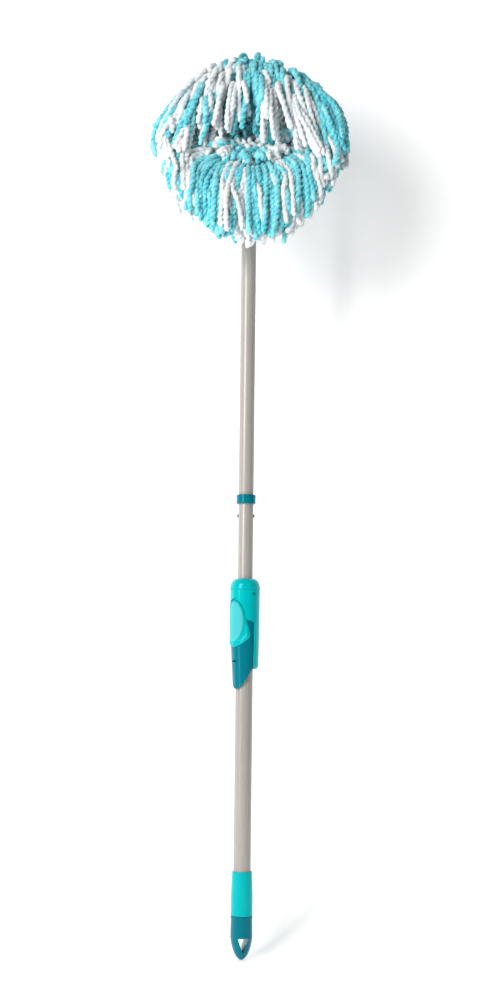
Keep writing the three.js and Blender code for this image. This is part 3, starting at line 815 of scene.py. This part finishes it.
def folded_course(away, side, row, root, rng, bunch):
    """Over the top: the strand climbs behind, folds at the rim of the head and falls in front."""
    _, _, _, reach, depth, slant, fall = ROWS[row]
    turn = math.radians(away * 0.95 + rng.normal(0, 2.5))
    reach += rng.normal(0, 0.0025) + bunch[1] * 0.002
    x, z = side * reach * math.sin(turn), CENTRE + reach * math.cos(turn)
    ridge = on_face(x, z, -0.020 - depth)
    way = np.array([side * slant * math.sin(turn * 1.1) + rng.normal(0, 0.05) + bunch[0] * 0.09, -1.0])
    way /= np.linalg.norm(way)
    fall *= 1 + 0.24 * bunch[1] + rng.normal(0, 0.07)
    fall *= 0.86 + 0.14 * min(away / 50, 1)
    places = []
    for share, forward in ((0.12, 0.012), (0.5, 0.021), (1.0, 0.020)):
        places.append(on_face(x + way[0] * fall * share, z + way[1] * fall * share, ridge[1] - forward))
    climb = root * 0.4 + ridge * 0.6 + np.array([0, 0.010, 0.004])
    return np.array([root, climb, ridge, *places])


def hanging_course(away, side, row, root, out, rng, bunch):
    """Below: the strand leaves the band outwards and hangs down to the round lower edge."""
    low = max(0.0, -math.cos(math.radians(away)))
    turn = math.radians(read_curve(TIP_TURN, away) + rng.normal(0, 2.5) + bunch[0] * 3)
    reach = 0.128 + 0.016 * low - 0.0035 * row - 0.004 * abs(bunch[1]) + rng.normal(0, 0.003)
    depth = -0.050 - 0.006 * row - 0.030 * low
    tip = on_face(side * reach * math.sin(turn), CENTRE + reach * math.cos(turn), depth + rng.normal(0, 0.003))
    leave = out * 0.95 + FRONT * (0.40 - 0.55 * low)
    near = root + leave * 0.016
    shoulder = root + leave * 0.030 + (tip - root) * np.array([0.30, 0.15, 0.10])
    knee = shoulder * 0.62 + tip * 0.38 + np.array([0, -0.006, 0.003])
    calf = shoulder * 0.25 + tip * 0.75 + np.array([0, -0.003, 0.001])
    return np.array([root, near, shoulder, knee, calf, tip])


def grow_strands(rng):
    """First shapes of all strands, in rows around the band; bunches of neighbours lie alike."""
    strands = []
    for row, (radius, height, count, *_) in enumerate(ROWS):
        bunches = rng.normal(0, 1, (count, 2))
        for i in range(count):
            turn = 2 * math.pi * (i + rng.uniform(-0.3, 0.3)) / count % (2 * math.pi)
            turn += 0.2 * math.sin(turn)
            bunch = np.clip(bunches[i // 4] + rng.normal(0, 0.3, 2), -1.6, 1.6)
            out = SIDE * math.sin(turn) - UP * math.cos(turn)
            from_top = math.degrees(math.pi - turn)
            away, side = abs(from_top), 1 if from_top > 0 else -1
            root = PIVOT + out * (radius + rng.normal(0, 0.0015)) + FRONT * (height + rng.normal(0, 0.001))
            fold = 1 - min(max((away - 58) / 50, 0), 1)
            fold = fold * fold * (3 - 2 * fold)
            course = hanging_course(away, side, row, root, out, rng, bunch) * (1 - fold)
            course += folded_course(away, side, row, root, rng, bunch) * fold
            line, length = resample(course, 0.002)
            share = np.linspace(0, len(line) - 1, SEGMENTS + 1)
            points = np.stack([np.interp(share, np.arange(len(line)), line[:, c]) for c in range(3)], 1)
            points[2:] += np.cumsum(rng.normal(0, 0.0009, (SEGMENTS - 1, 3)), axis=0)
            swing = np.sin(np.linspace(0, 1.5 * math.pi, SEGMENTS + 1) + 2 * bunch[1]) - math.sin(2 * bunch[1])
            points[:, 0] += 0.0035 * bunch[0] * swing
            loose = float(np.clip(rng.normal(0, 0.005), -0.007, 0.008))
            strands.append({"points": points, "turn": turn, "row": row, "length": length, "loose": loose})
    return strands


def near_pairs(points, owner, reach):
    first, second = [], []
    square = (points ** 2).sum(1)
    for a in range(0, len(points), 900):
        b = min(a + 900, len(points))
        gap = square[a:b, None] + square[None] - 2 * points[a:b] @ points.T
        i, j = np.nonzero((gap < reach ** 2) & (owner[a:b, None] < owner[None]))
        first.append(i + a)
        second.append(j)
    return np.concatenate(first), np.concatenate(second)


def part_strands(points, pairs):
    """Pushes strands that touch apart."""
    flat = points.reshape(-1, 3)
    first, second = pairs
    apart = flat[first] - flat[second]
    gap = np.sqrt((apart ** 2).sum(1)) + 1e-6
    push = apart / gap[:, None] * (np.clip(SQUEEZED_WIDTH - gap, 0, None) * 0.4)[:, None]
    touching = (gap < SQUEEZED_WIDTH).astype(float)
    count = np.bincount(first, touching, len(flat)) + np.bincount(second, touching, len(flat))
    total = np.stack([
        np.bincount(first, push[:, c], len(flat)) - np.bincount(second, push[:, c], len(flat)) for c in range(3)
    ], 1)
    total /= np.maximum(count, 1)[:, None] ** 0.5
    free = (np.arange(SEGMENTS + 1) > 1)[None, :, None]
    return points + total.reshape(points.shape) * free


def keep_clear(points):
    """Keeps the strands off the disc, the tufts and the room that the pole sweeps as the head tilts."""
    offset = points - PIVOT
    height, up, x = offset @ FRONT, offset @ UP, offset[..., 0]
    radius = np.hypot(x, up)
    over = (radius < 0.080) & (height < 0.041) & (height > 0.020)
    points = points + np.where(over, 0.041 - height, 0)[..., None] * FRONT
    behind = (radius < 0.080) & (height <= 0.020)
    push = np.where(behind, (0.080 - radius) / np.maximum(radius, 1e-4), 0)
    points = points + push[..., None] * (x[..., None] * SIDE + up[..., None] * UP)
    offset = points - PIVOT
    height, up, x = offset @ FRONT, offset @ UP, offset[..., 0]
    radius = np.hypot(x, up)
    mound = 0.040 + 0.018 * np.clip(1 - (radius / 0.052) ** 4, 0, 1)
    low = (radius < 0.052) & (height < mound) & (height > 0)
    points = points + np.where(low, mound - height, 0)[..., None] * FRONT
    offset = points - PIVOT
    x, y, z = offset[..., 0], offset[..., 1], offset[..., 2]
    swept = (np.abs(x) < 0.022) & (y > -0.022) & (z < 0.02 + 0.25 * y) & (offset @ FRONT < 0.03)
    points[..., 0] += np.where(swept, np.sign(x + 1e-6) * (0.022 - np.abs(x)) * 0.5, 0)
    return points


def hold_outline(points, loose):
    """The bunch holds its strands in an umbrella's outline, as seen from the eye."""
    nearer = (points[..., 1] - EYE[1]) / -EYE[1]
    x = points[..., 0] / nearer
    z = (points[..., 2] - EYE[2]) / nearer + EYE[2] - CENTRE
    away = np.degrees(np.arctan2(x, z))
    limit = np.interp(away, [p[0] for p in OUTLINE], [p[1] for p in OUTLINE])
    over = np.maximum(np.hypot(x, z) - limit - loose, 0)
    factor = 1 - 0.5 * over / np.maximum(np.hypot(x, z), 1e-4)
    points[..., 0] = x * factor * nearer
    points[..., 2] = (CENTRE + z * factor - EYE[2]) * nearer + EYE[2]
    return points


def settle(strands, rounds=48):
    points = np.array([s["points"] for s in strands])
    goal = points.copy()
    steps = np.array([s["length"] for s in strands])[:, None] / SEGMENTS
    owner = np.repeat(np.arange(len(strands)), SEGMENTS + 1)
    loose = np.array([s["loose"] for s in strands])[:, None] * np.linspace(0.2, 1.3, SEGMENTS + 1) ** 2
    for turn in range(rounds):
        points[:, 1:] += (goal[:, 1:] - points[:, 1:]) * 0.05
        if turn % 6 == 0:
            pairs = near_pairs(points.reshape(-1, 3), owner, SQUEEZED_WIDTH + 0.005)
        points = hold_outline(keep_clear(part_strands(points, pairs)), loose)
        for _ in range(2):
            for k in range(1, SEGMENTS + 1):
                way = points[:, k] - points[:, k - 1]
                way /= np.linalg.norm(way, axis=1, keepdims=True)
                points[:, k] = points[:, k - 1] + way * steps
        middle = (points[:, :-2] + points[:, 2:]) / 2
        points[:, 2:-1] += (middle[:, 1:] - points[:, 2:-1]) * 0.25
    for strand, line in zip(strands, points):
        strand["points"] = line


def resample(points, step):
    """Evenly spaced points along a smooth line through the given ones."""
    fine = []
    padded = np.concatenate([2 * points[:1] - points[1:2], points, 2 * points[-1:] - points[-2:-1]])
    for a, b, c, d in zip(padded[:-3], padded[1:-2], padded[2:-1], padded[3:]):
        for t in np.arange(0, 1, 0.2):
            fine.append(0.5 * (2 * b + (c - a) * t + (2 * a - 5 * b + 4 * c - d) * t * t
                               + (3 * b - a - 3 * c + d) * t ** 3))
    fine.append(points[-1])
    fine = np.array(fine)
    along = np.concatenate([[0], np.cumsum(np.linalg.norm(np.diff(fine, axis=0), axis=1))])
    count = max(int(along[-1] / step), 4)
    wanted = np.linspace(0, along[-1], count + 1)
    return np.stack([np.interp(wanted, along, fine[:, c]) for c in range(3)], 1), along[-1]


def twisted_tube(points, radius, rng, sides=10, pitch=0.0165, step=0.0018, fuzz=150):
    """Two plies twisted together, a little uneven, with a frayed tip and loose fibres.

    Gives vertices, faces and for each vertex a painted light value: high on the ply crowns, where a highlight is
    painted, and low deep in the groove between the plies, where shade is painted; a random tone per strand shifts it,
    and the loose fibres take the crown's value.
    """
    line, length = resample(points, step)
    count = len(line)
    way = np.gradient(line, axis=0)
    way /= np.linalg.norm(way, axis=1, keepdims=True)
    side = np.cross(way[0], [0.3, 0.5, 0.8])
    side /= np.linalg.norm(side)
    sides_a, sides_b = np.empty((count, 3)), np.empty((count, 3))
    for k in range(count):
        side = side - way[k] * side.dot(way[k])
        side /= np.linalg.norm(side)
        sides_a[k], sides_b[k] = side, np.cross(way[k], side)
    turns = 2 * math.pi * np.arange(sides) / sides
    along = np.arange(count)[:, None] * step
    phase = rng.uniform(0, math.pi) + 2 * math.pi * along / pitch + 0.5 * np.sin(along / 0.011 + rng.uniform(0, 6))
    ply_crown_light = np.abs(np.cos(turns[None] - phase)) ** 1.2
    swell = 1 + 0.06 * np.sin(along / 0.0031 + rng.uniform(0, 6)) + 0.07 * np.sin(along / 0.0077 + rng.uniform(0, 6))
    left = np.arange(count)[::-1, None] * step
    end = np.clip(0.45 + left / 0.005, 0, 1)
    lumps = np.repeat(np.repeat(rng.normal(0, 0.07, (count // 2 + 1, sides // 2)), 2, 0), 2, 1)[:count]
    reach = radius * (0.70 + 0.38 * ply_crown_light + lumps + rng.normal(0, 0.05, (count, sides))) * swell * end
    outward = np.cos(turns)[None, :, None] * sides_a[:, None] + np.sin(turns)[None, :, None] * sides_b[:, None]
    verts = (line[:, None] + outward * reach[..., None]).reshape(-1, 3)
    ring = np.arange(sides)
    after = (ring + 1) % sides
    faces = []
    for k in range(count - 1):
        low, high = k * sides, (k + 1) * sides
        faces += list(zip(low + ring, low + after, high + after, high + ring))
    faces += [tuple(range(sides - 1, -1, -1)), tuple((count - 1) * sides + i for i in range(sides))]
    # Painted light and shade: the crown value, shifted by the strand's random tone, makes the ply crowns lighter and
    # the grooves darker.
    tone = rng.uniform(-0.22, 0.22)
    crown_light_and_tone = np.clip(ply_crown_light + tone, 0, 1).reshape(-1)
    picks = rng.integers(sides, len(verts) - sides, fuzz)
    normals = outward.reshape(-1, 3)[picks]
    lean = normals * 0.8 + rng.normal(0, 0.6, (fuzz, 3))
    lean /= np.linalg.norm(lean, axis=1, keepdims=True)
    foot = verts[picks] - normals * 0.0004
    across = np.cross(lean, normals) * 0.00024
    tips = foot + lean * rng.uniform(0.0014, 0.0040, fuzz)[:, None]
    base = len(verts)
    verts = np.concatenate([verts, foot - across, foot + across, tips])
    faces += [(base + i, base + fuzz + i, base + 2 * fuzz + i) for i in range(fuzz)]
    return verts, faces, np.concatenate([crown_light_and_tone, np.ones(3 * fuzz)])


def yarn_piece(name, tubes, material):
    faces, base = [], 0
    for points, shape, _ in tubes:
        faces += [tuple(int(base + i) for i in face) for face in shape]
        base += len(points)
    mesh = bpy.data.meshes.new(name)
    mesh.from_pydata(np.concatenate([tube[0] for tube in tubes]).tolist(), [], faces)
    # The per-vertex painted light value: lit ply crowns and shaded grooves, read by the yarn material.
    ply_crown_light = mesh.attributes.new("ply_crown_light", "FLOAT", "POINT")
    ply_crown_light.data.foreach_set("value", np.concatenate([tube[2] for tube in tubes]))
    mesh.shade_smooth()
    obj = bpy.data.objects.new(name, mesh)
    bpy.context.collection.objects.link(obj)
    mesh.materials.append(materials[material])
    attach(obj, "refill")
    return obj


def is_white(strand, rng):
    """Colours lie in bunches around the disc, a little different from row to row."""
    turn = strand["turn"] + 0.10 * strand["row"]
    from_top = math.degrees(math.pi - strand["turn"])
    wave = math.sin(7 * turn + 0.9) + 0.8 * math.sin(12 * turn + 2.0 + 1.3 * strand["row"])
    if abs(from_top) > 95:
        wave += (2.0, 0.9, -0.2, -0.4, -0.4)[strand["row"]]
    if -38 < from_top < -7:
        wave += 1.6
    if -7 <= from_top < 48:
        wave += 1.5 if strand["row"] > 2 and from_top > 6 else -1.3
    return wave + rng.normal(0, 0.3) > 0.1


def make_tufts(rng):
    """Short loops and cut ends that stand on the band's inner ring."""
    tubes = {True: [], False: []}
    rings = ((0.012, 7), (0.018, 11), (0.024, 15), (0.030, 19), (0.036, 23), (0.042, 27), (0.047, 28))
    for radius, count in rings:
        for i in range(count):
            turn = 2 * math.pi * (i + rng.uniform(-0.4, 0.4)) / count
            out = SIDE * math.sin(turn) - UP * math.cos(turn)
            across = SIDE * math.cos(turn) + UP * math.sin(turn)
            if radius < 0.033 and out.dot(UP) * radius > 0.011 and abs(out[0]) * radius < 0.019:
                continue
            root = PIVOT + out * radius + FRONT * 0.0375
            lean = rng.uniform(0, 2 * math.pi)
            foot = (across * math.cos(lean) + out * math.sin(lean)) * rng.uniform(0.003, 0.008)
            rise = FRONT * rng.uniform(0.012, 0.022) + DOWN * rng.uniform(0.0, 0.008)
            share = np.linspace(0, 1, 7)[:, None]
            arch = np.sin(math.pi * (0.08 + rng.uniform(0.5, 0.84) * share))
            points = root + foot * (2 * share - 1) + rise * arch + rng.normal(0, 0.0009, (7, 3))
            tubes[rng.random() < 0.27].append(twisted_tube(points, rng.uniform(0.0032, 0.0045), rng, fuzz=24))
    for i in range(44):
        turn = rng.uniform(-1.9, 1.9)
        out = SIDE * math.sin(turn) - UP * math.cos(turn)
        across = SIDE * math.cos(turn) + UP * math.sin(turn)
        root = PIVOT + out * rng.uniform(0.047, 0.058) + FRONT * rng.uniform(0.048, 0.058)
        share = np.linspace(-1, 1, 7)[:, None]
        bow = FRONT * 0.005 * (1 - share ** 2) + DOWN * rng.uniform(0.0, 0.006) * share ** 2
        way = across * rng.uniform(-0.006, 0.006) + out * rng.uniform(0.003, 0.008)
        points = root + way * share + bow + rng.normal(0, 0.0009, (7, 3))
        tubes[rng.random() < 0.5].append(twisted_tube(points, rng.uniform(0.0034, 0.0046), rng, fuzz=24))
    return tubes


def add_yarn():
    rng = np.random.default_rng(7)
    strands = grow_strands(rng)
    settle(strands)
    tubes = {True: [], False: []}
    for strand in strands:
        radius = STRAND_WIDTH / 2 * rng.uniform(0.94, 1.12)
        tubes[is_white(strand, rng)].append(twisted_tube(strand["points"], radius, rng))
    pieces = []
    for white, color in ((True, "white"), (False, "turquoise")):
        material = "yarn_white" if white else "yarn"
        for part in range(3):
            pieces.append(yarn_piece(f"yarn_{color}_{part + 1}", tubes[white][part::3], material))
    for white, group in make_tufts(rng).items():
        color = "white" if white else "turquoise"
        pieces.append(yarn_piece(f"tufts_{color}", group, "yarn_white" if white else "yarn"))
    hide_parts("yarn_skirt")
    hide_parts("yarn_tufts")
    return pieces


def add_band(yarn_pieces):
    """The sewn textile band: a flat ring."""
    inner, outer, thick = 26, 74, 3.4
    low = 33.0
    profile = rounded([(inner, low), (outer, low), (outer, low + thick), (inner, low + thick)], 1.2)
    verts, faces = spun(profile)
    across = SIDE
    verts = [tuple(PIVOT + across * v[0] + UP * v[1] + FRONT * v[2]) for v in verts]
    band = new_piece("textile_band_fine", verts, faces, "textile", "refill", "textile", ["textile_band"])


# ---------------------------------------------------------------- CAD nodes that stay
def dress_nodes():
    slots = {entry["node"]: entry["material_slot"] for entry in record["subparts"]}
    for name, obj in frame["nodes"].items():
        obj.data.materials.clear()
        obj.data.materials.append(materials[slots[name]])


add_camera()
add_studio()
add_stage()
dress_nodes()
add_tubes()
add_collar_ring()
add_grip()
add_dome()
add_upper_shell()
add_lower_shell()
add_lever()
add_band(add_yarn())
